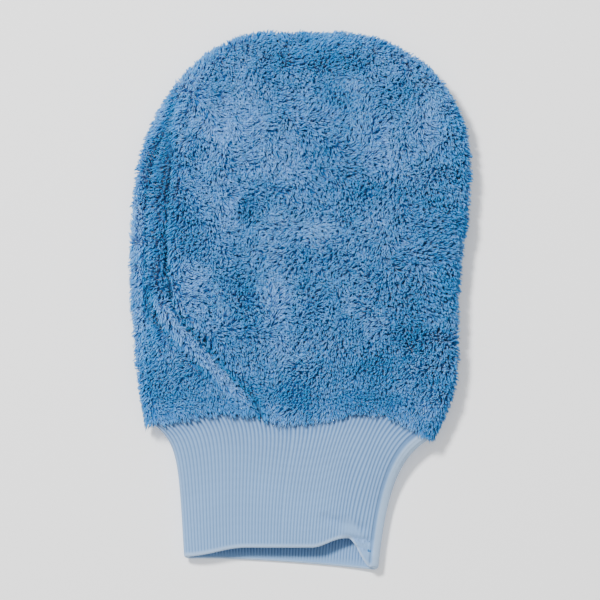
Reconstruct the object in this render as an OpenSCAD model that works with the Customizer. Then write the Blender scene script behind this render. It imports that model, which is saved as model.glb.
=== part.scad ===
// Wash mitt: two plush microfibre panels sewn round the edge and turned, with a rib knit
// cuff folded double and sewn to the mouth. It lies flat, cuff towards -Y, and rests on z = 0.
// X runs across the hand, Y from the cuff to the fingertips, Z up from the table.

/* [Mitt] */
// Width over the pile at its widest
mitt_w = 172; // [150:1:190]
// Length from the fingertip pile to the cuff's hem
mitt_l = 270; // [250:1:290]
// Height over the pile at the crown
mitt_h = 33; // [30:0.5:38]
// Length of the pile, standing free
pile = 8; // [5:0.5:9]
// Length of the pile under the mitt, pressed by its weight
pressed_pile = 5.5; // [4:0.5:6]
// Thickness of the knitted ground cloth that holds the pile
cloth = 1.2; // [0.8:0.1:1.6]
// Height of the edge seam above the table
seam_z = 12; // [11:0.5:13]

/* [Seams] */
// Width of the seam allowance that is turned in round the edge
allowance = 9; // [7:0.5:11]
// Width of the overlocked band inside the cuff's seam
join_allowance = 7; // [5:0.5:9]
// Thickness of the sewing thread
thread = 0.5; // [0.4:0.1:0.6]

/* [Cuff] */
// Length of the cuff from its seam to the back of its hem
cuff_l = 76.5; // [70:0.5:85]
// Thickness of one ply of the rib knit
rib_ply = 1.15; // [0.9:0.05:1.4]
// Height of the cuff's open hem
hem_h = 14; // [12:0.5:15]

/* [Hidden] */
plush_blue = [0.32, 0.53, 0.71];
ground_blue = [0.20, 0.42, 0.64];
rib_blue = [0.61, 0.70, 0.79];
thread_blue = [0.16, 0.36, 0.58];
half_w = mitt_w / 2;
tip_y = mitt_l / 2;
hem_y = -mitt_l / 2;
seam_y = hem_y + cuff_l;
// Room between pieces that lie on each other
lay = 0.1;
// Room between the two allowances, which the seam's thread fills
thread_gap = thread + 0.1;
// Room between the cuff and the panels, which the joining stitches fill
join_gap = thread + 0.5;
// Room between the cuff's two plies, which its side seam fills
ply_gap = 0.5;
cuff_wall = 2 * rib_ply + ply_gap;
// Heights of the front and back above and below the edge seam
front_h = mitt_h - seam_z;
back_h = 20;
// How much the pile is squeezed where it is sewn to the cuff, and how far up that eases off
mouth_squeeze = 0.43;
mouth_ease = 40;
// Y of the widest place on each side, from which the fingertip curve starts
left_dome_y = 16;
right_dome_y = 60;
// Y of the point that the allowance faces round the fingertips
fan_y = 45;
// How far the left edge draws in at the mouth, and the right edge in two steps
left_draw = 8;
right_draw = 6;
right_draw_low = 13;
// Exponent of the fingertip curve, between an ellipse and a rectangle
dome = 2.5;
// The fingertip curve's own top lies this far past the flat of the fingertips
dome_over = 0.6;
// The faces of the layers, from outside in: the pile's, the ground cloth's and the pocket's
PILE_TIPS = 0;
PILE_ROOTS = 1;
GROUND = 2;
POCKET = 3;
// The least room between a ground cloth and its own allowance
allowance_room = 0.15;
// The seam to the cuff waves by this much either way, and runs down this far at the right
seam_wave = 2.5;
seam_run_down = 8;
// The cuff's left fold starts this far from the middle, and draws in as it leaves the seam
cuff_left_x = 62;
cuff_left_flare = 12;
cuff_right_x = 65.5;
cuff_right_flare = 27.5;
// How far the hem's back ply lies askew, and how the front ply rides up and is pulled down
hem_skew = 5.4;
hem_rise = 6.6;
hem_rise_left = 4.6;
hem_rise_right = 4.5;
hem_pull = 14.5;
// How soon the cuff settles on the table, as a share of its length
settle = 1.6;
// How far the lockstitch lies in from the ground cloth's face
bite = 0.4;
across = 24;
along = 20;
around = 2 * across;
cuff_steps = 9;

// ---- Small helpers ----

function mix(a, b, w) = a + (b - a) * w;
function unit(w) = min(max(w, 0), 1);
function smooth(w) = let (u = unit(w)) u * u * (3 - 2 * u);
function signed_power(a, p) = sign(a) * pow(abs(a), p);

// Faces of a grid of points that starts at base, rows by cols. The left half is cut along
// the other diagonal, so that the two sides match.
function grid_faces(rows, cols, base, turned) = [
    for (r = [0 : rows - 2])
        for (c = [0 : cols - 2])
            let (a = base + r * cols + c, b = a + 1, d = a + cols, e = d + 1)
            let (two = c < (cols - 1) / 2 ? [[a, d, b], [b, d, e]] : [[a, e, b], [a, d, e]])
                each turned ? [for (f = two) [f[0], f[2], f[1]]] : two
];

// Faces between two lines of points, given as lists of indices
function strip_faces(one, two) = [
    for (k = [0 : len(one) - 2])
        each [[one[k], one[k + 1], two[k + 1]], [one[k], two[k + 1], two[k]]]
];

// Indices round the edge of a grid, starting at its first corner
function edge_indices(rows, cols, base) = concat(
    [for (c = [0 : cols - 1]) base + c],
    [for (r = [1 : rows - 1]) base + r * cols + cols - 1],
    [for (c = [cols - 2 : -1 : 0]) base + (rows - 1) * cols + c],
    [for (r = [rows - 2 : -1 : 0]) base + r * cols]
);

function flat_list(grid) = [for (row = grid) each row];

// A closed slab between an upper and a lower grid of the same size
module slab(upper, lower) {
    rows = len(upper);
    cols = len(upper[0]);
    count = rows * cols;
    polyhedron(
        points = concat(flat_list(upper), flat_list(lower)),
        faces = concat(
            grid_faces(rows, cols, 0, false),
            grid_faces(rows, cols, count, true),
            strip_faces(edge_indices(rows, cols, 0), edge_indices(rows, cols, count))
        )
    );
}

// A closed ring: rings[k] is one loop of points, and the last loop joins the first
module ring_solid(rings) {
    n = len(rings);
    m = len(rings[0]);
    polyhedron(
        points = flat_list(rings),
        faces = [
            for (r = [0 : n - 1])
                for (c = [0 : m - 1])
                    let (a = r * m + c, b = r * m + (c + 1) % m)
                        let (d = ((r + 1) % n) * m + c, e = ((r + 1) % n) * m + (c + 1) % m)
                            each [[a, e, b], [a, d, e]]
        ]
    );
}

// A bar with closed ends: sections[k] is one loop of points along it
module bar(sections) {
    n = len(sections);
    m = len(sections[0]);
    polyhedron(
        points = flat_list(sections),
        faces = concat(
            [for (r = [0 : n - 2])
                for (c = [0 : m - 1])
                    let (a = r * m + c, b = r * m + (c + 1) % m)
                        each [[a, b, b + m], [a, b + m, a + m]]],
            [[for (c = [m - 1 : -1 : 0]) c]],
            [[for (c = [0 : m - 1]) (n - 1) * m + c]]
        )
    );
}

// ---- Outline ----

// The seam between the panels and the cuff: it waves, and runs down to the right corner
function seam_line(x) =
    seam_y + seam_wave * cos(5 * (x + 38)) - seam_run_down * pow(max(0, (x - 38) / 28), 1.3);

// The seam's own ends at the left and right edge
left_mouth_y = seam_y - 2.5;
right_mouth_y = seam_y - 10.5;

// One side of the fingertip curve, reaching w at its widest
function dome_x(y, from_y, w, tip) =
    w * pow(max(0, 1 - pow(unit((y - from_y) / (tip + dome_over - from_y)), dome)), 1 / dome);

// X of the left and right edge at height y, with the layer lying depth inside the pile's edge
function left_x(y, depth, tip) =
    y > left_dome_y
        ? -dome_x(y, left_dome_y, half_w - depth, tip)
        : -(half_w - depth - left_draw * pow((left_dome_y - y) / (left_dome_y - left_mouth_y), 2));
function right_x(y, depth, tip) =
    y > right_dome_y
        ? dome_x(y, right_dome_y, half_w - depth, tip)
        : half_w - depth - right_draw * smooth((right_dome_y - y) / 60)
            - right_draw_low * pow(max(0, (-26 - y) / 43), 2);

// ---- Panels ----

// How far the pile's squeeze at the mouth has eased
function ease(v) = mix(mouth_squeeze, 1, smooth(v * (tip_y - seam_y) / mouth_ease));
// How the height falls off towards the fingertips
function tip_fall(v) = sqrt(max(0, 1 - pow(unit((v - 0.5) / 0.5), 4)));
// The least of three shares of the height, with the places where they meet rounded over
function rounded_least(a, b, c) =
    min(a, b, c) <= 0 ? 0 : pow(pow(a, -3) + pow(b, -3) + pow(c, -3) - 2, -1 / 3);

// How far a face lies inside the pile's tips beside the hand, and on top of it or under it
function depth_at(face, v, pile_there) =
    face == PILE_TIPS ? 0
    : pile_there * ease(v) + (face == PILE_ROOTS ? 0 : face == GROUND ? lay : lay + cloth);

// A point of a face: u goes from 0 at the left edge to 1 at the right, v from the mouth
// to the fingertips. The front is the upper side, lift is the height off the seam at the edge.
function panel_point(u, v, face, front, lift) =
    let (depth = depth_at(face, v, pile))
    let (tip = tip_y - depth)
    let (row_y = mix(seam_y, tip, v))
    let (drop = pow(1 - v, 4))
    let (left = left_x(row_y + (left_mouth_y - seam_y) * drop, depth, tip))
    let (right = right_x(row_y + (right_mouth_y - seam_y) * drop, depth, tip))
    let (crowded = (1 - signed_power(cos(180 * u), 2 / 3)) / 2)
    let (share = mix(crowded, u, smooth((v - 0.7) / 0.3)))
    let (x = mix(left, right, share))
    let (y = row_y + (seam_line(x) - seam_y) * drop + join_gap / 2 * (1 - v))
    let (side_fall = sqrt(max(0, 1 - pow(abs(1 - 2 * share), 3))))
    let (rise = rounded_least(side_fall, tip_fall(v), front ? ease(v) : 1))
    let (crown = (front ? front_h : back_h) - (face == PILE_TIPS ? 0 : pile + lay))
    let (rim_z = lift + (face == POCKET ? cloth : 0))
    let (bulge = mix(lift, crown, rise) + (face == PILE_ROOTS ? lay : face == POCKET ? -cloth : 0))
    let (height = rise == 0 ? rim_z : max(bulge, rim_z + (face == POCKET ? allowance_room : 0)))
    let (z = front
        ? seam_z + height
        : max(depth_at(face, v, pressed_pile), seam_z - height))
    [x, y, z];

// Rows lie closer together towards the fingertips
function row_v(r) = mix(r / along, sin(90 * r / along), 0.7);

function panel_grid(face, front, lift) = [
    for (r = [0 : along])
        [for (c = [0 : across]) panel_point(c / across, row_v(r), face, front, lift)]
];

// Level direction out of the pocket: straight across beside the hand, and away from the
// middle of the fingertip curve above that
function outward(p) = let (way = [p[0], p[1] - min(p[1], fan_y), 0]) way / norm(way);

// The places round the panel's edge: [u, v] up the left, over the fingertips, down the right
EDGE = concat(
    [for (r = [0 : along]) [0, row_v(r)]],
    [for (c = [1 : across]) [c / across, 1]],
    [for (r = [along - 1 : -1 : 0]) [1, row_v(r)]]
);
function edge_point(k) = panel_point(EDGE[k][0], EDGE[k][1], GROUND, true, 0);
// A point that lies in from the panel's edge, at height z. The two ends stop short of the mouth.
function edge_offset(k, in, z, short) =
    let (p = edge_point(k), n = -outward(edge_point(k)))
    let (ends = k == 0 || k == len(EDGE) - 1)
    let (x = p[0] + n[0] * in)
    [x, ends ? seam_line(x) + join_gap / 2 + short : p[1] + n[1] * in, z];

// A section across the edge: corners hold how far in each point lies, and its height over
// the seam
function edge_section(k, corners) = [
    for (c = corners) edge_offset(k, c[0], seam_z + c[1], join_allowance + 1)
];

// One ground cloth: a dished shell with its allowance turned in at the seam
module ground(front) {
    side = front ? 1 : -1;
    lift = thread_gap / 2;
    outer = panel_grid(GROUND, front, lift);
    inner = panel_grid(POCKET, front, lift);
    start = 0.8 * cloth;
    low = min(side * lift, side * (lift + cloth));
    high = low + cloth;
    union() {
        slab(front ? outer : inner, front ? inner : outer);
        bar([
            for (k = [0 : len(EDGE) - 1])
                edge_section(k, [[start, low], [allowance, low], [allowance, high], [start, high]])
        ]);
    }
}

module front_ground() {
    color(ground_blue) ground(true);
}

module back_ground() {
    color(ground_blue) ground(false);
}

// The pile fills the space outside the ground cloth, and its halves meet at the seam
module front_pile() {
    color(plush_blue)
        slab(panel_grid(PILE_TIPS, true, lay), panel_grid(PILE_ROOTS, true, lay));
}

module back_pile() {
    color(plush_blue)
        slab(panel_grid(PILE_ROOTS, false, lay), panel_grid(PILE_TIPS, false, lay));
}

// The seam's thread, between the two allowances
module edge_lockstitch() {
    half = thread / 2;
    near = 0.8;
    far = near + thread;
    color(thread_blue)
        bar([
            for (k = [0 : len(EDGE) - 1])
                edge_section(k, [[near, -half], [far, -half], [far, half], [near, half]])
        ]);
}

// The overlock's thread wraps the raw edges of both allowances
module edge_overlock() {
    reach = thread_gap / 2 + cloth + lay;
    wrap = reach + thread;
    back = allowance - 4;
    edge = allowance + lay;
    far = edge + thread;
    color(thread_blue)
        bar([
            for (k = [0 : len(EDGE) - 1])
                edge_section(k, [[back, -wrap], [far, -wrap], [far, wrap], [back, wrap],
                    [back, reach], [edge, reach], [edge, -reach], [back, -reach]])
        ]);
}

// ---- Cuff ----

// X of the cuff's left and right fold at y
function cuff_left(y) =
    let (d = max(0, left_mouth_y - y)) -(cuff_left_x - 0.058 * d + cuff_left_flare * exp(-d / 9));
function cuff_right(y) =
    let (d = max(0, right_mouth_y - y))
        cuff_right_x - cuff_right_flare * (1 - exp(-d / 27)) - 0.02 * d;

// Y of the hem: the back ply is cut straight and lies askew, the front ply rides up and is
// pulled down again at the right
function back_hem(x) = hem_y + hem_skew - hem_skew * pow(max(0, (x + 45) / 80), 1.5);
function front_hem(x) =
    hem_y + hem_rise + hem_rise_left * smooth((x + 57) / 30) + hem_rise_right * smooth((x - 6) / 16)
        - hem_pull * smooth((x - 24) / 11.5);

// A point of the cuff: turn goes round from the right fold over the front, v from the seam
// to the hem, and depth is how far it lies inside the outer face. The cuff starts with the
// section of the panels' mouth and ends flat on the table, with its hem open.
function cuff_point(turn, v, depth) =
    let (u = abs(turn - 180) / 180)
    let (share = (1 - signed_power(cos(180 * u), 2 / 3)) / 2)
    let (left = cuff_left(mix(left_mouth_y, hem_y + hem_skew, v)) + depth)
    let (right = cuff_right(mix(right_mouth_y, hem_y + 1, v)) - depth)
    let (x = mix(left, right, share))
    let (hem = mix(back_hem(x), front_hem(x), smooth(0.5 + 1.5 * sin(turn))))
    let (y = mix(seam_line(x) - join_gap / 2, hem, v))
    let (settled = smooth(v * settle))
    let (swell = hem_h / 2 * pow(abs(sin(turn)), 0.7))
    let (top = mix(panel_point(u, 0, GROUND, true, 0)[2], hem_h / 2 + swell, settled))
    let (bottom = mix(panel_point(u, 0, GROUND, false, 0)[2], hem_h / 2 - swell, settled))
    let (half = (top - bottom) / 2 * (1 - depth / (hem_h / 2)))
    [x, y, (top + bottom) / 2 + half * sign(sin(turn))];

function cuff_loop(v, depth) = [
    for (c = [0 : around - 1]) cuff_point(360 * c / around, v, depth)
];

// The rib knit tube: down the outer ply, round the folded hem, up the inner ply, and back
// along the space between the plies
module rib_cuff() {
    fold = 4 * rib_ply / mitt_l;
    out = [for (r = [0 : cuff_steps]) r / cuff_steps];
    back = [for (r = [cuff_steps : -1 : 0]) r / cuff_steps];
    color(rib_blue)
        ring_solid(concat(
            [for (s = out) cuff_loop(s * (1 - fold), 0)],
            [cuff_loop(1, cuff_wall / 2)],
            [for (s = back) cuff_loop(s * (1 - fold), cuff_wall)],
            [for (s = out) cuff_loop(s * (1 - 2 * fold), cuff_wall - rib_ply)],
            [for (s = back) cuff_loop(s * (1 - 2 * fold), rib_ply)]
        ));
}

// The seam that closes the tube, between the plies near the right fold of the front
module cuff_side_seam() {
    turns = [26, 31];
    start = 0.02;
    end = 0.95;
    rows = [for (r = [0 : cuff_steps]) mix(start, end, r / cuff_steps)];
    color(thread_blue)
        slab(
            [for (v = rows) [for (turn = turns) cuff_point(turn, v, rib_ply + lay)]],
            [for (v = rows) [for (turn = turns) cuff_point(turn, v, rib_ply + ply_gap - lay)]]
        );
}

// ---- Joining seam ----

// A loop round the mouth, in from the ground cloth's outer face and up from the seam
function mouth_loop(depth, up) = [
    for (c = [0 : around - 1])
        let (p = cuff_point(360 * c / around, 0, depth))
            [p[0], seam_line(p[0]) + up, p[2]]
];

module join_lockstitch() {
    half = thread / 2;
    color(thread_blue)
        ring_solid([
            mouth_loop(bite, -half),
            mouth_loop(bite + thread, -half),
            mouth_loop(bite + thread, half),
            mouth_loop(bite, half)
        ]);
}

// The overlocked allowances of the cuff and the panels, turned up inside the mouth
module join_overlock() {
    near = cloth + 1.2;
    far = near + 1;
    color(thread_blue)
        ring_solid([
            mouth_loop(near, join_gap),
            mouth_loop(far, join_gap),
            mouth_loop(far, join_allowance),
            mouth_loop(near, join_allowance)
        ]);
}

front_ground();
front_pile();
back_ground();
back_pile();
edge_lockstitch();
edge_overlock();
rib_cuff();
cuff_side_seam();
join_lockstitch();
join_overlock();
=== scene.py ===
"""The looks of a plush wash mitt with a rib knit cuff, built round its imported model.

Sizes inside the classes are in millimetres, as the cloth is cut and sewn. Every mesh is
written in metres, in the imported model's own frame: X across the hand, Y to the fingertips.
"""
import logging
import math
from dataclasses import dataclass, field
from enum import Enum

import bpy
import numpy as np
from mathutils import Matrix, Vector


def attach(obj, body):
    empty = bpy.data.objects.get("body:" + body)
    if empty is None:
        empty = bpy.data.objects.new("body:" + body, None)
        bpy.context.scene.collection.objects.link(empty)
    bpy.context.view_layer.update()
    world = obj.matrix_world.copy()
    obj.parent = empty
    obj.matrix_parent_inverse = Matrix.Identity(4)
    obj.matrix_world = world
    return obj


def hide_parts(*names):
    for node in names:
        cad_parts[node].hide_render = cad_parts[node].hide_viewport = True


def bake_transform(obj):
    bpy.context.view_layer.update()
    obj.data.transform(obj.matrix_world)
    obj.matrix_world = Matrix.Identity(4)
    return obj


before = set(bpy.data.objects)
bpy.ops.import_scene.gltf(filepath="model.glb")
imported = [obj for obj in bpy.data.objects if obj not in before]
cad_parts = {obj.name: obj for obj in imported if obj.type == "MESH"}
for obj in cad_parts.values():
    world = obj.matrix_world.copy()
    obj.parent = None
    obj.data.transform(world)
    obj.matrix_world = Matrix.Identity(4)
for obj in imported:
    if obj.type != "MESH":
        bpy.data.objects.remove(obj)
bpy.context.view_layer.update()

LOG = logging.getLogger("wash_mitt")
MM = 0.001
Array = np.ndarray


# ---- Small helpers ----


def linear(code: str) -> tuple[float, float, float, float]:
    """Turns an sRGB hex colour into linear light.

    Args:
        code: The colour, such as "#5188b4".

    Returns:
        Red, green, blue and an alpha of 1.
    """
    parts = [int(code[i : i + 2], 16) / 255 for i in (1, 3, 5)]
    light = [c / 12.92 if c <= 0.04045 else ((c + 0.055) / 1.055) ** 2.4 for c in parts]
    return (light[0], light[1], light[2], 1.0)


def mix(a: Array, b: Array, w: Array) -> Array:
    """Returns the value w of the way from a to b."""
    return a + (b - a) * w


def smooth(w: Array) -> Array:
    """Returns w held between 0 and 1, with both ends eased."""
    w = np.clip(w, 0, 1)
    return w * w * (3 - 2 * w)


def signed_power(a: Array, p: float) -> Array:
    """Returns the power of a's size, with a's sign."""
    return np.sign(a) * np.abs(a) ** p


def hump(away: Array, width: float | Array) -> Array:
    """Returns 1 where away is nothing, falling softly to nothing past width."""
    return np.exp(-((away / width) ** 2))


def unit(vectors: Array) -> Array:
    """Returns each row of vectors at length 1."""
    return vectors / np.maximum(np.linalg.norm(vectors, axis=-1, keepdims=True), 1e-9)


def walk(line: Array) -> Array:
    """Returns how far along a line of points each one lies."""
    return np.concatenate([[0], np.cumsum(np.linalg.norm(np.diff(line, axis=0), axis=1))])


def wave_scale(band_mm: float) -> float:
    """Returns the scale at which a wave texture makes one band in each band_mm."""
    return math.pi / 10 / (band_mm * MM)


def add_node(tree: bpy.types.NodeTree, kind: str, links: dict, **settings: object) -> bpy.types.Node:
    """Adds one node with its settings and links.

    Args:
        tree: The material's node tree.
        kind: The node's type, without the ShaderNode before it.
        links: What goes in each input, by its name or number: a socket or a value.
        settings: The node's own properties.

    Returns:
        The node.
    """
    node = tree.nodes.new("ShaderNode" + kind)
    for name, value in settings.items():
        setattr(node, name, value)
    for name, value in links.items():
        if isinstance(value, bpy.types.NodeSocket):
            tree.links.new(value, node.inputs[name])
        else:
            node.inputs[name].default_value = value
    return node


def start_material(name: str, values: dict) -> tuple[bpy.types.Material, bpy.types.NodeTree]:
    """Starts a material on its Principled shader.

    Args:
        name: The real material's name.
        values: What is the same all over, by the name of the shader's own socket.

    Returns:
        The material and its node tree.
    """
    made = bpy.data.materials.new(name)
    made.use_nodes = True
    for socket, value in values.items():
        made.node_tree.nodes["Principled BSDF"].inputs[socket].default_value = value
    return made, made.node_tree


def link_shader(
    tree: bpy.types.NodeTree, shade: bpy.types.Node, relief: bpy.types.Node | None = None
) -> None:
    """Links a material's colour and relief to its shader.

    Args:
        tree: The material's node tree.
        shade: The node that gives the colour.
        relief: The node that gives the relief, if there is one.
    """
    shader = tree.nodes["Principled BSDF"]
    tree.links.new(shade.outputs["Color"], shader.inputs["Base Color"])
    if relief:
        tree.links.new(relief.outputs["Normal"], shader.inputs["Normal"])


def make_piece(name: str, points: Array, quads: Array, tris: Array | None = None) -> bpy.types.Object:
    """Makes a smooth mesh object.

    Args:
        name: The piece's name.
        points: Its points in millimetres, one row each.
        quads: Its four-cornered faces, as rows of point numbers.
        tris: Its three-cornered faces, if it has any.

    Returns:
        The object, at the origin.
    """
    tris = np.zeros((0, 3), int) if tris is None else tris
    corners = np.concatenate([quads.ravel(), tris.ravel()]).astype(np.int32)
    starts = np.concatenate([np.arange(len(quads)) * 4, len(quads) * 4 + np.arange(len(tris)) * 3])
    mesh = bpy.data.meshes.new(name)
    mesh.vertices.add(len(points))
    mesh.vertices.foreach_set("co", (points * MM).astype(np.float32).ravel())
    mesh.loops.add(len(corners))
    mesh.loops.foreach_set("vertex_index", corners)
    mesh.polygons.add(len(starts))
    mesh.polygons.foreach_set("loop_start", starts.astype(np.int32))
    mesh.update(calc_edges=True)
    mesh.polygons.foreach_set("use_smooth", np.ones(len(starts), bool))
    piece = bpy.data.objects.new(name, mesh)
    bpy.context.scene.collection.objects.link(piece)
    return piece


def give_attribute(piece: bpy.types.Object, name: str, values: Array) -> None:
    """Keeps one number for each point of a piece, for its material to read.

    Args:
        piece: The mesh object.
        name: The attribute's name.
        values: A number for each point.
    """
    made = piece.data.attributes.new(name, "FLOAT", "POINT")
    made.data.foreach_set("value", values.astype(np.float32))


def dress(
    piece: bpy.types.Object, finish: bpy.types.Material, body: str | None = "mitt"
) -> None:
    """Gives a piece its finish and the body that it rides on.

    Args:
        piece: The mesh object.
        finish: Its material.
        body: The body, or None for a piece that crosses the joint.
    """
    piece.data.materials.append(finish)
    if body:
        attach(piece, body)


def grid_quads(rows: int, cols: int, base: int = 0, turned: bool = False, closed: bool = False) -> Array:
    """Lists the faces of a grid of points.

    Args:
        rows: How many rows of points.
        cols: How many points in a row.
        base: The first point's number.
        turned: Whether the faces look the other way.
        closed: Whether each row's last point joins its first.

    Returns:
        The faces, four point numbers each.
    """
    r, c = np.meshgrid(np.arange(rows - 1), np.arange(cols if closed else cols - 1), indexing="ij")
    after = (c + 1) % cols
    a, b = base + r * cols + c, base + r * cols + after
    quads = np.stack([a, b, b + cols, a + cols], -1).reshape(-1, 4)
    return quads[:, ::-1] if turned else quads


class SoftNoise:
    """A smooth random field over the plane, the same on each run."""

    def __init__(self, seed: int, size: float) -> None:
        """Draws the field.

        Args:
            seed: The number that fixes the field.
            size: The width of one hump in millimetres.
        """
        self.size = size
        self.lattice = np.random.default_rng(seed).uniform(-1, 1, (256, 256))

    def at(self, x: Array, y: Array) -> Array:
        """Reads the field.

        Args:
            x: Places across.
            y: Places along.

        Returns:
            Values between -1 and 1.
        """
        i, j = x / self.size + 128, y / self.size + 128
        i0, j0 = np.floor(i).astype(int), np.floor(j).astype(int)
        a, b = smooth(i - i0), smooth(j - j0)
        i0, j0, i1, j1 = i0 % 256, j0 % 256, (i0 + 1) % 256, (j0 + 1) % 256
        low = mix(self.lattice[i0, j0], self.lattice[i1, j0], a)
        high = mix(self.lattice[i0, j1], self.lattice[i1, j1], a)
        return mix(low, high, b)


# ---- Finishes ----


@dataclass(frozen=True)
class PlushPile:
    """Split microfibre yarn, knitted as long loops and sheared open: matt, with a soft sheen."""

    # The yarn is dyed through, and looks deeper at its root because light is lost there.
    root: str = "#0f68ae"
    middle: str = "#1d80cc"
    tip: str = "#4faeee"
    # The colour of its sheen
    lit: str = "#cfe4f5"
    roughness: float = 0.82
    sheen: float = 0.35

    def material(self) -> bpy.types.Material:
        """Makes the pile's look, from each yarn's reach and brightness; the brightness holds painted sheen
        and painted shade.

        Returns:
            The material.
        """
        made, tree = start_material("sheared microfibre pile", {
            "Roughness": self.roughness, "Sheen Weight": self.sheen, "Sheen Roughness": 0.4,
            "Sheen Tint": linear(self.lit)})
        reach = add_node(tree, "Attribute", {}, attribute_name="reach")
        tone_sheen_and_shade = add_node(tree, "Attribute", {}, attribute_name="tone_sheen_and_shade")
        ramp = add_node(tree, "ValToRGB", {"Fac": reach.outputs["Fac"]})
        ramp.color_ramp.elements[0].color = linear(self.root)
        ramp.color_ramp.elements[1].color = linear(self.tip)
        ramp.color_ramp.elements.new(0.55).color = linear(self.middle)
        # Painted sheen and shade: yarn that is brushed down is drawn paler and greyer, and yarn in the
        # crease and grooves darker and deeper in colour
        sheen_grey = add_node(tree, "MapRange", {
            "Value": tone_sheen_and_shade.outputs["Fac"], "From Min": 0.8, "From Max": 1.2,
            "To Min": 1.1, "To Max": 0.86})
        shade = add_node(tree, "HueSaturation", {
            "Color": ramp.outputs["Color"], "Value": tone_sheen_and_shade.outputs["Fac"],
            "Saturation": sheen_grey.outputs["Result"]})
        link_shader(tree, shade)
        return made


@dataclass(frozen=True)
class PileBed:
    """The crowded lower part of the same pile, where the light hardly reaches."""

    deep: str = "#0d5fa6"
    light: str = "#1f78bd"
    # Yarns stand about 1.3 mm apart
    yarn_mm: float = 1.3

    def material(self) -> bpy.types.Material:
        """Makes the bed's look, mottled at the spacing of the yarns, and darker with painted shade where
        the pile is open.

        Returns:
            The material.
        """
        made, tree = start_material("crowded microfibre yarn", {"Roughness": 0.9})
        place = add_node(tree, "TexCoord", {})
        spots = add_node(tree, "TexNoise", {
            "Vector": place.outputs["Object"], "Scale": 1 / (self.yarn_mm * MM), "Detail": 2.0})
        ramp = add_node(tree, "ValToRGB", {"Fac": spots.outputs["Fac"]})
        ramp.color_ramp.elements[0].position = 0.35
        ramp.color_ramp.elements[1].position = 0.75
        ramp.color_ramp.elements[0].color = linear(self.deep)
        ramp.color_ramp.elements[1].color = linear(self.light)
        lumps = add_node(tree, "Bump", {
            "Height": spots.outputs["Fac"], "Strength": 0.8, "Distance": 0.5 * MM})
        # Painted shade: the bed is drawn darker where the crease and grooves open the pile
        depth = add_node(tree, "Attribute", {}, attribute_name="shade")
        shade = add_node(tree, "HueSaturation", {
            "Color": ramp.outputs["Color"], "Value": depth.outputs["Fac"]})
        link_shader(tree, shade, lumps)
        return made


@dataclass(frozen=True)
class GroundKnit:
    """Warp knitted polyester ground: fine close wales, matt, the same dye as its pile."""

    colour: str = "#3f7fb2"
    # Painted shade: the colour the knit is drawn in between its loops
    between: str = "#275f92"
    # Wales are 1 mm apart, and courses 0.8 mm; drawn three times as coarse so that they show
    wale_mm: float = 3.14
    course_mm: float = 2.51

    def material(self) -> bpy.types.Material:
        """Makes the ground cloth's look, with its wales and courses.

        Returns:
            The material.
        """
        made, tree = start_material("warp knitted polyester", {"Roughness": 0.85, "Sheen Weight": 0.2})
        place = add_node(tree, "TexCoord", {})
        wales, courses = [add_node(tree, "TexWave", {
            "Vector": place.outputs["Object"], "Scale": wave_scale(band_mm),
            "Distortion": 0.6, "Detail Scale": 2.0}, bands_direction=axis)
            for axis, band_mm in (("X", self.wale_mm), ("Y", self.course_mm))]
        loops = add_node(tree, "Math", {0: wales.outputs["Fac"], 1: courses.outputs["Fac"]},
                         operation="MULTIPLY")
        ramp = add_node(tree, "ValToRGB", {"Fac": loops.outputs["Value"]})
        ramp.color_ramp.elements[0].color = linear(self.between)
        ramp.color_ramp.elements[1].color = linear(self.colour)
        relief = add_node(tree, "Bump", {
            "Height": loops.outputs["Value"], "Strength": 0.6, "Distance": 0.3 * MM})
        link_shader(tree, ramp, relief)
        return made


@dataclass(frozen=True)
class RibKnit:
    """Cotton and polyester 1x1 rib, tumbled soft: matt, drawn paler on its ribs than in the channels
    between them, which hold painted shade, and paler at its folds.
    """

    rib: str = "#7fa6d4"
    channel_shade: str = "#4f78aa"
    pale_edge: str = "#a2c0e2"
    # Stitches along a rib are 1.1 mm; drawn as swells of 5 mm so that they show
    stitch_mm: float = 5.03

    def material(self) -> bpy.types.Material:
        """Makes the rib's look, from its crests, its folds and its own UV map.

        Returns:
            The material.
        """
        made, tree = start_material("cotton rib knit", {
            "Roughness": 0.9, "Sheen Weight": 0.25, "Sheen Roughness": 0.5})
        crest = add_node(tree, "Attribute", {}, attribute_name="crest")
        fold = add_node(tree, "Attribute", {}, attribute_name="fold")
        place = add_node(tree, "TexCoord", {})
        cloth = add_node(tree, "UVMap", {}, uv_map="cloth")
        # Painted shade: the channels between the ribs are drawn darker than their crests
        ramp = add_node(tree, "ValToRGB", {"Fac": crest.outputs["Fac"]})
        ramp.color_ramp.elements[0].color = linear(self.channel_shade)
        ramp.color_ramp.elements[1].color = linear(self.rib)
        ramp.color_ramp.elements[1].position = 0.7
        pale = add_node(tree, "Mix", {
            0: fold.outputs["Fac"], 6: ramp.outputs["Color"], 7: linear(self.pale_edge)}, data_type="RGBA")
        uneven = add_node(tree, "TexNoise", {
            "Vector": place.outputs["Object"], "Scale": 1 / (22 * MM), "Detail": 3.0})
        level = add_node(tree, "MapRange", {
            "Value": uneven.outputs["Fac"], "To Min": 0.93, "To Max": 1.07})
        shade = add_node(tree, "HueSaturation", {
            "Color": pale.outputs[2], "Value": level.outputs["Result"]})
        stitches = add_node(tree, "TexWave", {
            "Vector": cloth.outputs["UV"], "Scale": wave_scale(self.stitch_mm),
            "Distortion": 1.0, "Detail": 1.0, "Detail Scale": 3.0}, bands_direction="Y")
        fibres = add_node(tree, "TexNoise", {
            "Vector": place.outputs["Object"], "Scale": 1 / (0.5 * MM), "Detail": 2.0})
        both = add_node(tree, "Math", {0: stitches.outputs["Fac"], 1: fibres.outputs["Fac"]},
                        operation="ADD")
        relief = add_node(tree, "Bump", {
            "Height": both.outputs["Value"], "Strength": 0.5, "Distance": 0.12 * MM})
        link_shader(tree, shade, relief)
        return made


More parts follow.
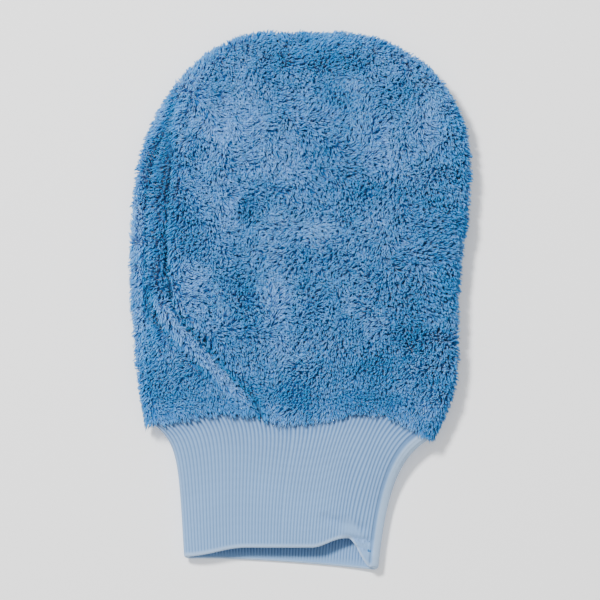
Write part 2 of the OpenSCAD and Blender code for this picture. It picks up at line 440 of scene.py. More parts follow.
@dataclass(frozen=True)
class SewingThread:
    """Spun polyester thread: two plies twisted, a little brighter than the cloth it holds."""

    colour: str = "#2d6da3"
    # One twist of the plies takes 1.2 mm; drawn three times as coarse so that it shows
    twist_mm: float = 3.77

    def material(self) -> bpy.types.Material:
        """Makes the thread's look, with its twist.

        Returns:
            The material.
        """
        made, tree = start_material("spun polyester thread", {"Roughness": 0.6})
        place = add_node(tree, "TexCoord", {})
        twist = add_node(tree, "TexWave", {
            "Vector": place.outputs["Object"], "Scale": wave_scale(self.twist_mm),
            "Distortion": 0.5}, bands_direction="DIAGONAL")
        # Painted shade and highlight: the thread is drawn darker and paler in bands along its twist
        level = add_node(tree, "MapRange", {"Value": twist.outputs["Fac"], "To Min": 0.8, "To Max": 1.15})
        shade = add_node(tree, "HueSaturation", {
            "Color": linear(self.colour), "Value": level.outputs["Result"]})
        relief = add_node(tree, "Bump", {
            "Height": twist.outputs["Fac"], "Strength": 0.5, "Distance": 0.1 * MM})
        link_shader(tree, shade, relief)
        return made


# ---- The mitt's form ----


class Side(Enum):
    """The mitt's two panels."""

    FRONT = "front"
    BACK = "back"


@dataclass(frozen=True)
class MittForm:
    """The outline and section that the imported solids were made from."""

    half_w: float = 86.0
    # Y of the fingertips, of the cuff's seam and of the hem
    tip_y: float = 135.0
    seam_y: float = -58.5
    hem_y: float = -135.0
    # Z of the edge seam, and how far each panel's crown stands from it
    seam_z: float = 12.0
    front_h: float = 21.0
    back_h: float = 20.0
    # The pile's length free and under the mitt, and the share of it left at the mouth
    pile: float = 8.0
    pressed: float = 5.5
    squeeze: float = 0.43
    # Where each side starts to round over to the fingertips
    left_dome_y: float = 16.0
    right_dome_y: float = 60.0
    # The hem's height, the cuff's two plies together, and the gap where they meet the panels
    hem_h: float = 14.0
    wall: float = 2.8
    join_gap: float = 1.0
    # How far from the mouth its pile is thinned
    mouth_ease: float = 40.0
    # How far the sides draw in towards the mouth
    left_draw: float = 8.0
    right_draw: float = 6.0
    right_draw_low: float = 13.0
    # Where the cuff's folds lie, and how far they flare at the mouth
    cuff_left_x: float = 62.0
    cuff_left_flare: float = 12.0
    cuff_right_x: float = 38.0
    cuff_right_flare: float = 27.5
    # The hem: how far askew its lower ply lies, and how far its upper ply rides up and is pulled down
    hem_skew: float = 5.4
    hem_rise: float = 6.6
    hem_rise_left: float = 4.6
    hem_rise_right: float = 4.5
    hem_pull: float = 14.5

    @property
    def left_mouth_y(self) -> float:
        """Y of the seam's left end."""
        return self.seam_y - 2.5

    @property
    def right_mouth_y(self) -> float:
        """Y of the seam's right end."""
        return self.seam_y - 10.5

    def seam_line(self, x: Array) -> Array:
        """Returns Y of the cuff's seam, which waves and runs down to the right corner."""
        wave = 2.5 * np.cos(np.radians(5 * (x + 38)))
        return self.seam_y + wave - 8 * np.maximum(0, (x - 38) / 28) ** 1.3

    def dome(self, y: Array, start: float, w: Array, tip: Array) -> Array:
        """Returns X of the fingertip curve that starts at start, w wide."""
        up = np.clip((y - start) / (tip + 0.6 - start), 0, 1)
        return w * np.maximum(0, 1 - up**2.5) ** 0.4

    def left_x(self, y: Array, depth: Array, tip: Array) -> Array:
        """Follows the mitt's left edge.

        Args:
            y: Places along.
            depth: How far inside the pile's tips.
            tip: Y of the fingertips there.

        Returns:
            X of the edge.
        """
        w = self.half_w - depth
        down = np.maximum(0, self.left_dome_y - y) / (self.left_dome_y - self.left_mouth_y)
        low = self.left_draw * down**2 - w
        return np.where(y > self.left_dome_y, -self.dome(y, self.left_dome_y, w, tip), low)

    def right_x(self, y: Array, depth: Array, tip: Array) -> Array:
        """Follows the mitt's right edge.

        Args:
            y: Places along.
            depth: How far inside the pile's tips.
            tip: Y of the fingertips there.

        Returns:
            X of the edge.
        """
        w = self.half_w - depth
        high = self.right_draw * smooth((self.right_dome_y - y) / 60)
        low = w - high - self.right_draw_low * (np.maximum(0, -26 - y) / 43) ** 2
        return np.where(y > self.right_dome_y, self.dome(y, self.right_dome_y, w, tip), low)

    def ease(self, v: Array) -> Array:
        """Returns how thick the pile is, from its squeezed share at the mouth to 1 past it."""
        return mix(self.squeeze, 1.0, smooth(v * (self.tip_y - self.seam_y) / self.mouth_ease))

    def panel(self, u: Array, v: Array, q: Array, side: Side) -> Array:
        """Finds points of a panel.

        Args:
            u: From 0 at the left edge to 1 at the right.
            v: From 0 at the mouth to 1 at the fingertips.
            q: How deep in the pile, from 0 at its tips to 1 at its roots.
            side: Which panel.

        Returns:
            The points, with X, Y and Z last.
        """
        ease = self.ease(v)
        depth = q * self.pile * ease
        tip = self.tip_y - depth
        row_y = mix(self.seam_y, tip, v)
        drop = (1 - v) ** 4
        left = self.left_x(row_y + (self.left_mouth_y - self.seam_y) * drop, depth, tip)
        right = self.right_x(row_y + (self.right_mouth_y - self.seam_y) * drop, depth, tip)
        crowded = (1 - signed_power(np.cos(np.pi * u), 2 / 3)) / 2
        share = mix(crowded, u, smooth((v - 0.7) / 0.3))
        x = mix(left, right, share)
        y = row_y + (self.seam_line(x) - self.seam_y) * drop + self.join_gap / 2 * (1 - v)
        side_fall = np.sqrt(np.maximum(0, 1 - np.abs(1 - 2 * share) ** 3))
        tip_fall = np.sqrt(np.maximum(0, 1 - np.clip((v - 0.5) / 0.5, 0, 1) ** 4))
        mouth = ease if side is Side.FRONT else np.ones_like(ease)
        parts = [np.maximum(p, 1e-6) ** -3 for p in (side_fall, tip_fall, mouth)]
        rise = np.maximum(sum(parts) - 2, 1) ** (-1 / 3)
        crown = (self.front_h if side is Side.FRONT else self.back_h) - q * (self.pile + 0.1)
        if side is Side.FRONT:
            z = self.seam_z + crown * rise
        else:
            z = np.maximum(q * self.pressed * ease, self.seam_z - crown * rise)
        return np.stack(np.broadcast_arrays(x, y, z), -1)

    def cuff_left(self, y: Array) -> Array:
        """Returns X of the cuff's left fold."""
        d = np.maximum(0, self.left_mouth_y - y)
        return -(self.cuff_left_x - 0.058 * d + self.cuff_left_flare * np.exp(-d / 9))

    def cuff_right(self, y: Array) -> Array:
        """Returns X of the cuff's right fold."""
        d = np.maximum(0, self.right_mouth_y - y)
        return self.cuff_right_x - 0.02 * d + self.cuff_right_flare * np.exp(-d / 27)

    def back_hem(self, x: Array) -> Array:
        """Returns Y of the hem's lower ply, which lies askew."""
        return self.hem_y + self.hem_skew * (1 - np.maximum(0, (x + 45) / 80) ** 1.5)

    def front_hem(self, x: Array) -> Array:
        """Follows the hem's upper ply, which rides up and is pulled down at the right.

        Args:
            x: Places across.

        Returns:
            Y of the ply's hem.
        """
        rise = self.hem_rise + self.hem_rise_left * smooth((x + 57) / 30)
        rise = rise + self.hem_rise_right * smooth((x - 6) / 16)
        return self.hem_y + rise - self.hem_pull * smooth((x - 24) / 11.5)

    def cuff(self, turn: Array, v: Array, depth: Array) -> Array:
        """Finds points of the cuff.

        Args:
            turn: Degrees round from the right fold, over the front.
            v: From 0 at the seam to 1 at the hem.
            depth: How far inside the cuff's outer face.

        Returns:
            The points, with X, Y and Z last.
        """
        u = np.abs(turn - 180) / 180
        share = (1 - signed_power(np.cos(np.pi * u), 2 / 3)) / 2
        left = self.cuff_left(mix(self.left_mouth_y, self.hem_y + self.hem_skew, v)) + depth
        right = self.cuff_right(mix(self.right_mouth_y, self.hem_y + 1, v)) - depth
        x = mix(left, right, share)
        bow = np.sin(np.radians(turn))
        hem = mix(self.back_hem(x), self.front_hem(x), smooth(0.5 + 1.5 * bow))
        y = mix(self.seam_line(x) - self.join_gap / 2, hem, v)
        settled = smooth(v * 1.6)
        swell = self.hem_h / 2 * np.abs(bow) ** 0.7
        root = (self.pile + 0.1) / self.pile
        over = self.panel(u, np.zeros_like(u), np.full_like(u, root), Side.FRONT)[..., 2]
        under = self.panel(u, np.zeros_like(u), np.full_like(u, root), Side.BACK)[..., 2]
        top = mix(over, self.hem_h / 2 + swell, settled)
        bottom = mix(under, self.hem_h / 2 - swell, settled)
        half = (top - bottom) / 2 * (1 - depth / (self.hem_h / 2))
        z = (top + bottom) / 2 + half * np.sign(bow)
        return np.stack(np.broadcast_arrays(x, y, z), -1)


FORM = MittForm()


# ---- Pile ----


@dataclass
class Relief:
    """How the panels are creased and how their pile is brushed, seen from above."""

    # A soft groove that runs down beside the left edge, and turns into a sharp crease to the mouth
    crease: tuple = (
        (-60, 108), (-63, 86), (-64, 66), (-65.4, 38), (-66, 13), (-64, 1), (-60.4, -6.5), (-54.7, -14),
        (-47, -21.7), (-41, -29), (-31, -40.5), (-23, -49), (-19.5, -56), (-18.5, -64))
    # How deep the pile sinks in a groove, and how high its pressed band and its ridge stand
    groove_mm: float = 2.8
    band_mm: float = 1.5
    ridge_mm: float = 1.2
    # Soft lumps of the slack cloth, large and small
    lumps: SoftNoise = field(default_factory=lambda: SoftNoise(3, 17))
    small_lumps: SoftNoise = field(default_factory=lambda: SoftNoise(5, 6))

    def crease_distance(self, x: Array, y: Array) -> Array:
        """Measures from the crease.

        Args:
            x: Places across.
            y: Places along.

        Returns:
            How far each place is from it, positive on its right.
        """
        best = np.full(x.shape, 1e9)
        signed = np.full(x.shape, 1e9)
        for (x0, y0), (x1, y1) in zip(self.crease, self.crease[1:]):
            dx, dy = x1 - x0, y1 - y0
            along = np.clip(((x - x0) * dx + (y - y0) * dy) / (dx * dx + dy * dy), 0, 1)
            off_x, off_y = x - x0 - along * dx, y - y0 - along * dy
            away = np.hypot(off_x, off_y)
            closer = away < best
            best = np.where(closer, away, best)
            signed = np.where(closer, away * np.sign(dx * off_y - dy * off_x + 1e-9), signed)
        return signed

    def gap(self, x: Array, y: Array) -> Array:
        """Finds where the pile is open.

        Args:
            x: Places across.
            y: Places along.

        Returns:
            How open it is, from 0 to 1 in a crease or a groove.
        """
        inset = x - FORM.left_x(y, 0.0, FORM.tip_y)
        outer = 0.8 * hump(inset - 10.5, 1.4) * smooth((y + 14) / 14) * smooth((104 - y) / 40)
        off = self.crease_distance(x, y)
        sharp = smooth((8 - y) / 14)
        upper = smooth((y + 6) / 8) * smooth((112 - y) / 40)
        crease = hump(off, mix(1.9, 1.5, sharp)) * np.maximum(sharp, 0.75 * upper)
        beside = 0.75 * hump(off + 9.5, 1.7) * smooth((10 - y) / 12) * smooth((y + 44) / 14)
        return np.clip(outer + crease + beside, 0, 1)

    def parting(self, x: Array, y: Array) -> tuple[Array, Array]:
        """Finds how the pile parts along the crease.

        Args:
            x: Places across.
            y: Places along.

        Returns:
            The level way out of the crease at each place, and how strongly it parts there.
        """
        step = 0.4
        slopes = []
        for dx, dy in ((step, 0.0), (0.0, step)):
            ahead = np.abs(self.crease_distance(x + dx, y + dy))
            behind = np.abs(self.crease_distance(x - dx, y - dy))
            slopes.append((ahead - behind) / (2 * step))
        away = np.stack([*slopes, np.zeros_like(x)], -1)
        return away, hump(self.crease_distance(x, y), 2.6) * smooth((112 - y) / 40)

    def band(self, x: Array, y: Array) -> Array:
        """Returns where the pile is pressed smooth beside the crease, from 0 to 1."""
        off = self.crease_distance(x, y)
        return np.exp(-(((off + 4.2) / 2.9) ** 4)) * smooth((6 - y) / 10) * smooth((y + 56) / 12)

    def height(self, x: Array, y: Array) -> Array:
        """Finds how far the panel stands above its plain form.

        Args:
            x: Places across.
            y: Places along.

        Returns:
            The height, in millimetres.
        """
        inset = x - FORM.left_x(y, 0.0, FORM.tip_y)
        window = smooth((y + 30) / 14) * smooth((124 - y) / 40)
        ridge = self.ridge_mm * hump(inset - 15.5, 3.0) * window
        soft = 0.9 * self.lumps.at(x, y) + 0.5 * self.small_lumps.at(x, y)
        return soft + ridge + self.band_mm * self.band(x, y) - self.groove_mm * self.gap(x, y)


@dataclass
class Brushing:
    """Which way the pile lies, and where that draws it paler with painted sheen and darker with painted
    shade.
    """

    # Places where the pile lies towards the light, then away from it: x, y, width, height; the first are
    # drawn paler with painted sheen, the others darker with painted shade
    pale: tuple = (
        (-36, 88, 22, 18), (-11, 0, 7, 26), (-54, 2, 8, 13), (-38, 48, 10, 14), (42, 76, 12, 12),
        (-10, 75, 12, 11), (64, 92, 9, 12), (8, 34, 14, 8), (-78, 10, 3, 40), (-70, 104, 8, 16))
    deep: tuple = (
        (-28, 0, 7, 15), (30, -34, 20, 11), (66, 30, 8, 20), (10, 118, 20, 5), (-44, -24, 9, 7),
        (-69, 20, 4, 26), (-27, 46, 7, 7), (58, -20, 12, 10), (-70, 66, 5, 14), (-66, -40, 12, 10),
        (36, 56, 8, 6), (-4, -46, 14, 7), (-54, 38, 7, 12), (20, 98, 8, 5), (40, -50, 20, 6))
    swirl: SoftNoise = field(default_factory=lambda: SoftNoise(11, 30))
    eddy: SoftNoise = field(default_factory=lambda: SoftNoise(12, 8))
    patch: SoftNoise = field(default_factory=lambda: SoftNoise(13, 13))
    speck: SoftNoise = field(default_factory=lambda: SoftNoise(14, 4))

    def angle(self, x: Array, y: Array) -> Array:
        """Returns the lie's direction in radians."""
        return -0.9 + 2.6 * self.swirl.at(x, y) + 1.3 * self.eddy.at(x, y)

    def lie(self, x: Array, y: Array) -> Array:
        """Finds how flat the pile lies.

        Args:
            x: Places across.
            y: Places along.

        Returns:
            From -1 where it stands up to 1 where it is brushed down.
        """
        lie = 0.45 * self.patch.at(x, y) + 0.25 * self.speck.at(x, y)
        for spots, gain in ((self.pale, 0.9), (self.deep, -0.9)):
            for cx, cy, w, h in spots:
                lie = lie + gain * np.exp(-(((x - cx) / w) ** 2) - ((y - cy) / h) ** 2)
        return np.clip(lie, -1, 1)


@dataclass(frozen=True)
class Tufts:
    """The tufts of one panel: where each stands, its directions and size, and how its pile lies."""

    place: Array
    # The panel's way out, and two ways along it
    normal: Array
    across: Array
    along: Array
    # The way that it leans, how high it stands, and how far it leans
    lay: Array
    height: Array
    slide: Array
    # How flat it is brushed, and how open the pile is there
    lie: Array
    gap: Array


@dataclass
class PilePanel:
    """One panel's pile: a bed of crowded yarn, and the tufts of yarn that stand out of it."""

    side: Side
    relief: Relief
    brushing: Brushing
    # How far apart the tufts stand, and how many yarns each one holds
    spacing: float = 1.24
    yarns: int = 3
    # The bed's depth in the pile, and a yarn's radius
    bed_q: float = 0.55
    yarn_r: float = 0.3
    # How far a tuft's yarns stand from its middle, and how far each curls sideways
    tuft_r: float = 0.75
    curl_mm: float = 0.35
    # The least and the most that a tuft leans along its lie
    lean_mm: tuple = (1.7, 3.1)
    # How far the lie strays, in radians, from tuft to tuft and from yarn to yarn
    tuft_stray: float = 0.45
    yarn_stray: float = 0.22
    # The least heights of the yarns' middles and faces over the table
    middle_clear: float = 0.35
    face_clear: float = 0.05
    # How many yarns one piece holds at most
    most_yarns: int = 12000
    # The bed's rows and columns of points
    rows: int = 150
    cols: int = 130
    # The depth in the pile at which tufts are spaced
    spread_q: float = 0.4
    # Below this height over the table the lower panel's pile is pressed flat
    pressed_mm: float = 2.6

    @property
    def in_front(self) -> bool:
        """Whether this is the upper panel."""
        return self.side is Side.FRONT

    def surface(self, u: Array, v: Array, q: Array) -> Array:
        """Finds points of the creased panel.

        Args:
            u: From 0 at the left edge to 1 at the right.
            v: From 0 at the mouth to 1 at the fingertips.
            q: How deep in the pile, from 0 at its tips to 1 at its roots.

        Returns:
            The points, with X, Y and Z last.
        """
        points = FORM.panel(u, v, q, self.side)
        if self.in_front:
            up = smooth((points[..., 2] - FORM.seam_z) / 8)
            lift = self.relief.height(points[..., 0], points[..., 1]) * up * smooth((1 - q) * 4)
            points[..., 2] += np.maximum(lift, -0.75 * (1 - q) * FORM.pile)
        return points

    def bed(self) -> bpy.types.Object:
        """Makes the bed of crowded yarn, closed against the ground cloth.

        Returns:
            The bed.
        """
        rows, cols = self.rows, self.cols
        sign = 1.0 if self.in_front else -1.0
        v, u = np.meshgrid(np.linspace(0, 1, rows), np.linspace(0, 1, cols), indexing="ij")
        top = self.surface(u, v, np.full_like(u, self.bed_q))
        root = self.surface(u, v, np.full_like(u, 1.0))
        top[..., 2] += sign * 0.1
        root[..., 2] += sign * 0.1
        inner = np.minimum(np.minimum(u, 1 - u), np.minimum(v, 1 - v))
        rough = SoftNoise(21, 2.2).at(top[..., 0], top[..., 1])
        top[..., 2] += sign * 0.7 * rough * smooth(inner / 0.03)
        if not self.in_front:
            top[..., 2] = np.maximum(top[..., 2], 0.6)
        count = rows * cols
        rim = np.concatenate([np.arange(cols), np.arange(2, rows + 1) * cols - 1,
                              np.arange(count - 2, count - cols - 1, -1),
                              np.arange(rows - 2, 0, -1) * cols])
        after = np.roll(rim, -1)
        wall = np.stack([rim, rim + count, after + count, after], -1)
        upper = grid_quads(rows, cols, 0, not self.in_front)
        lower = grid_quads(rows, cols, count, self.in_front)
        quads = np.concatenate([upper, lower, wall if self.in_front else wall[:, ::-1]])
        points = np.concatenate([top.reshape(-1, 3), root.reshape(-1, 3)])
        piece = make_piece(f"{self.side.value}_pile_bed", points, quads)
        shade = np.ones(2 * count)
        # Painted shade: the bed's top is drawn darker in the crease and grooves
        if self.in_front:
            shade[:count] = 1 - 0.75 * self.relief.gap(top[..., 0], top[..., 1]).ravel()
        give_attribute(piece, "shade", shade)
        dress(piece, PileBed().material())
        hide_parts(f"{self.side.value}_pile")
        return piece

    def scatter(self, rng: np.random.Generator) -> tuple[Array, Array]:
        """Spreads the tufts evenly over the panel.

        Args:
            rng: The source of chance.

        Returns:
            Each tuft's u and v.
        """
        fine = np.linspace(0, 1, 400)
        deep = np.full_like(fine, self.spread_q)
        lines = [self.surface(np.full_like(fine, u), fine, deep) for u in (0.1, 0.3, 0.5, 0.7, 0.9)]
        up = np.mean([walk(line) for line in lines], 0)
        rows = round(up[-1] / self.spacing)
        all_u, all_v = [], []
        for row in range(rows):
            v = float(np.interp((row + 0.5) / rows * up[-1], up, fine))
            line = self.surface(fine, np.full_like(fine, v), deep)
            across = walk(line)
            n = max(3, round(across[-1] / self.spacing))
            at = (np.arange(n) + 0.5 * (row % 2) + rng.uniform(0.1, 0.9, n)) / (n + 0.5) * across[-1]
            u = np.interp(at, across, fine)
            nudge = rng.uniform(-0.45, 0.45, n) / rows
            if self.in_front:
                # The crease opens the pile down to its bed
                place = self.surface(u, np.full_like(u, v), np.full_like(u, self.spread_q))
                keep = rng.uniform(0, 1, n) > 0.95 * self.relief.gap(place[:, 0], place[:, 1]) ** 1.5
            else:
                # The pile under the mitt is pressed flat and needs fewer yarns to cover it
                height = np.interp(at, across, line[:, 2])
                keep = (height > self.pressed_mm) | (rng.uniform(0, 1, n) < 0.4)
            all_u.append(u[keep])
            all_v.append(np.clip(v + nudge[keep], 0, 1))
        return np.concatenate(all_u), np.concatenate(all_v)

    def frame_at(self, u: Array, v: Array) -> tuple[Array, Array, Array]:
        """Finds the panel's way out and two ways along it.

        Args:
            u: Places across.
            v: Places along.

        Returns:
            The outward normal, and the ways of growing u and v, each of length 1.
        """
        step, q = 0.006, np.full_like(u, self.spread_q)
        u, v = np.clip(u, 0.008, 0.992), np.clip(v, 0.008, 0.992)
        by_u = self.surface(u + step, v, q) - self.surface(u - step, v, q)
        by_v = self.surface(u, v + step, q) - self.surface(u, v - step, q)
        sign = 1.0 if self.in_front else -1.0
        normal = sign * unit(np.cross(by_u, by_v))
        across = unit(by_u)
        return normal, across, sign * unit(np.cross(normal, across))

    def tufts(self, rng: np.random.Generator) -> Tufts:
        """Finds how each tuft stands, leans and parts.

        Args:
            rng: The source of chance.

        Returns:
            The tufts.
        """
        u, v = self.scatter(rng)
        normal, across, along = self.frame_at(u, v)
        place = self.surface(u, v, np.full_like(u, self.bed_q + 0.1))
        x, y = place[:, 0], place[:, 1]
        gap = self.relief.gap(x, y) * self.in_front
        pressed = self.relief.band(x, y) * self.in_front
        lie = mix(self.brushing.lie(x, y), 1.0, pressed)
        angle = self.brushing.angle(x, y) * (1 - pressed) - 0.8 * pressed
        angle = angle + rng.normal(0, self.tuft_stray, len(x))
        flat = np.stack([np.cos(angle), np.sin(angle), np.zeros_like(angle)], -1)
        if self.in_front:
            away, near = self.relief.parting(x, y)
            flat = unit(mix(flat, away, 0.85 * near[:, None]) + 1e-6)
        lay = unit(flat - normal * (flat * normal).sum(-1, keepdims=True))
        # At the mouth the pile hangs over the cuff
        mouth = smooth((0.05 - v) / 0.05)
        lay = unit(mix(lay, np.array([0.0, -1.0, -0.1]), mouth[:, None] * 0.8))
        ease = FORM.ease(v)
        full = (self.bed_q + 0.1) * FORM.pile * ease
        if not self.in_front:
            under = smooth((self.pressed_mm - place[:, 2] + 2.2) / 2.0)
            full = full * mix(1.0, 0.55, under)
        height = full * rng.uniform(0.78, 1.08, len(x)) * (1 - 0.5 * gap) * (1 - 0.18 * lie)
        slide = rng.uniform(*self.lean_mm, len(x)) * (mix(0.55, 1.0, ease) + 0.8 * mouth)
        # Handling rubs the yarns at the rim short and close
        level = smooth(np.abs(normal[:, 2]) / 0.8)
        slide = slide * (1 + 0.45 * lie) * mix(0.7, 1.0, np.maximum(level, mouth))
        return Tufts(place, normal, across, along, lay, height, slide, lie, gap)

    def yarn_lines(self) -> tuple[Array, Array, Array, Array]:
        """Lays each yarn from its root over to its tip.

        Returns:
            Four points for each yarn, its sideways direction, its thickness and its brightness, which holds
            painted sheen and painted shade.
        """
        rng = np.random.default_rng(40 if self.in_front else 41)
        tufts = self.tufts(rng)
        total = self.yarns * len(tufts.lie)

        def each(values: Array) -> Array:
            """Repeats each tuft's row for its yarns."""
            return np.repeat(values, self.yarns, axis=0)

        spin, far = rng.uniform(0, 2 * np.pi, total), self.tuft_r * np.sqrt(rng.uniform(0, 1, total))
        off = each(tufts.across) * (far * np.cos(spin))[:, None]
        off = off + each(tufts.along) * (far * np.sin(spin))[:, None]
        root = each(tufts.place) + off
        normal, lay = each(tufts.normal), each(tufts.lay)
        turn = rng.normal(0, self.yarn_stray, total)
        side = np.cross(normal, lay)
        lay = unit(lay * np.cos(turn)[:, None] + side * np.sin(turn)[:, None])
        side = np.cross(normal, lay)
        height = each(tufts.height) * rng.uniform(0.8, 1.1, total)
        slide = each(tufts.slide) * rng.uniform(0.75, 1.2, total)
        curl = rng.normal(0, self.curl_mm, total)
        gather = each(0.5 - 0.35 * tufts.lie)[:, None]
        lines = []
        # Each yarn rises from its root, then bends over along its lie
        for t in (0.0, 0.45, 0.78, 1.0):
            rise = np.sin(np.pi / 2 * t**0.85)
            point = root - off * gather * t
            point = point + normal * (height * rise)[:, None] + lay * (slide * t**1.5)[:, None]
            point = point + side * (curl * t * t)[:, None]
            point[:, 2] = np.maximum(point[:, 2], self.middle_clear)
            lines.append(point)
        # Painted sheen and shade: yarn brushed down is drawn paler and yarn in the crease and grooves
        # darker; the rest varies at random from yarn to yarn and tuft to tuft
        tone_sheen_and_shade = each(1 + 0.17 * tufts.lie) * (1 - 0.7 * each(tufts.gap))
        tone_sheen_and_shade = tone_sheen_and_shade * rng.uniform(0.9, 1.1, total) * each(rng.uniform(0.92, 1.08, len(tufts.lie)))
        thick = self.yarn_r * rng.uniform(0.8, 1.2, total)
        return np.stack(lines, 1), side, thick, tone_sheen_and_shade

    def build(self, finish: bpy.types.Material) -> list[bpy.types.Object]:
        """Makes the tufts, as closed tapering yarns in several pieces.

        Args:
            finish: The yarn's material.

        Returns:
            The pieces, from the mouth to the fingertips.
        """
        lines, side, thick, tone_sheen_and_shade = self.yarn_lines()
        order = np.argsort(lines[:, 0, 1], kind="stable")
        pieces = []
        groups = np.array_split(order, math.ceil(len(order) / self.most_yarns))
        # A yarn is three rings of three points and a tip, with its root closed
        tube = []
        for ring in range(2):
            for c in range(3):
                a, b = ring * 3 + c, ring * 3 + (c + 1) % 3
                tube += [[a, b, b + 3], [a, b + 3, a + 3]]
        tube += [[6, 7, 9], [7, 8, 9], [8, 6, 9], [0, 2, 1]]
        for number, group in enumerate(groups, 1):
            line, across, r = lines[group], side[group], thick[group]
            rings = []
            for k, width in enumerate((0.85, 1.0, 0.72)):
                way = unit(line[:, min(k + 1, 3)] - line[:, max(k - 1, 0)])
                over = unit(np.cross(way, across))
                for corner in range(3):
                    a = math.radians(90 + 120 * corner)
                    out = over * math.sin(a) + np.cross(over, way) * math.cos(a)
                    rings.append(line[:, k] + out * (r * width)[:, None])
            rings.append(line[:, 3])
            points = np.stack(rings, 1)
            points[..., 2] = np.maximum(points[..., 2], self.face_clear)
            each = points.shape[1]
            tris = (np.arange(len(group))[:, None, None] * each + np.array(tube)[None]).reshape(-1, 3)
            name = f"{self.side.value}_pile_{number}"
            piece = make_piece(name, points.reshape(-1, 3), np.zeros((0, 4), int), tris)
            reach = np.append(np.repeat([0, 0.45, 0.8], 3), 1.0)
            give_attribute(piece, "reach", np.tile(reach, len(group)))
            give_attribute(piece, "tone_sheen_and_shade", np.repeat(tone_sheen_and_shade[group], each))
            dress(piece, finish)
            pieces.append(piece)
        return pieces


# ---- Ground cloths ----


@dataclass
class GroundCloth:
    """The knitted cloth that one panel's pile grows from, with its allowance turned in."""

    side: Side
    # The cut: the panel's outline with its allowance
    width: float = 174.0
    length: float = 204.0
    cut_share: float = 0.9

    def build(self) -> bpy.types.Object:
        """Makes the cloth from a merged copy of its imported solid.

        Returns:
            The cloth.
        """
        node = f"{self.side.value}_ground"
        piece = bpy.data.objects.new(f"{self.side.value}_ground_cloth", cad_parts[node].data.copy())
        bpy.context.scene.collection.objects.link(piece)
        bpy.ops.object.select_all(action="DESELECT")
        piece.select_set(True)
        bpy.context.view_layer.objects.active = piece
        bpy.ops.object.mode_set(mode="EDIT")
        bpy.ops.mesh.select_all(action="SELECT")
        bpy.ops.mesh.remove_doubles(threshold=0.002 * MM)
        bpy.ops.object.mode_set(mode="OBJECT")
        bpy.ops.object.shade_smooth_by_angle(angle=math.radians(40))
        piece.data.materials.clear()
        dress(piece, GroundKnit().material())
        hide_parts(node)
        return piece


# ---- Cuff ----


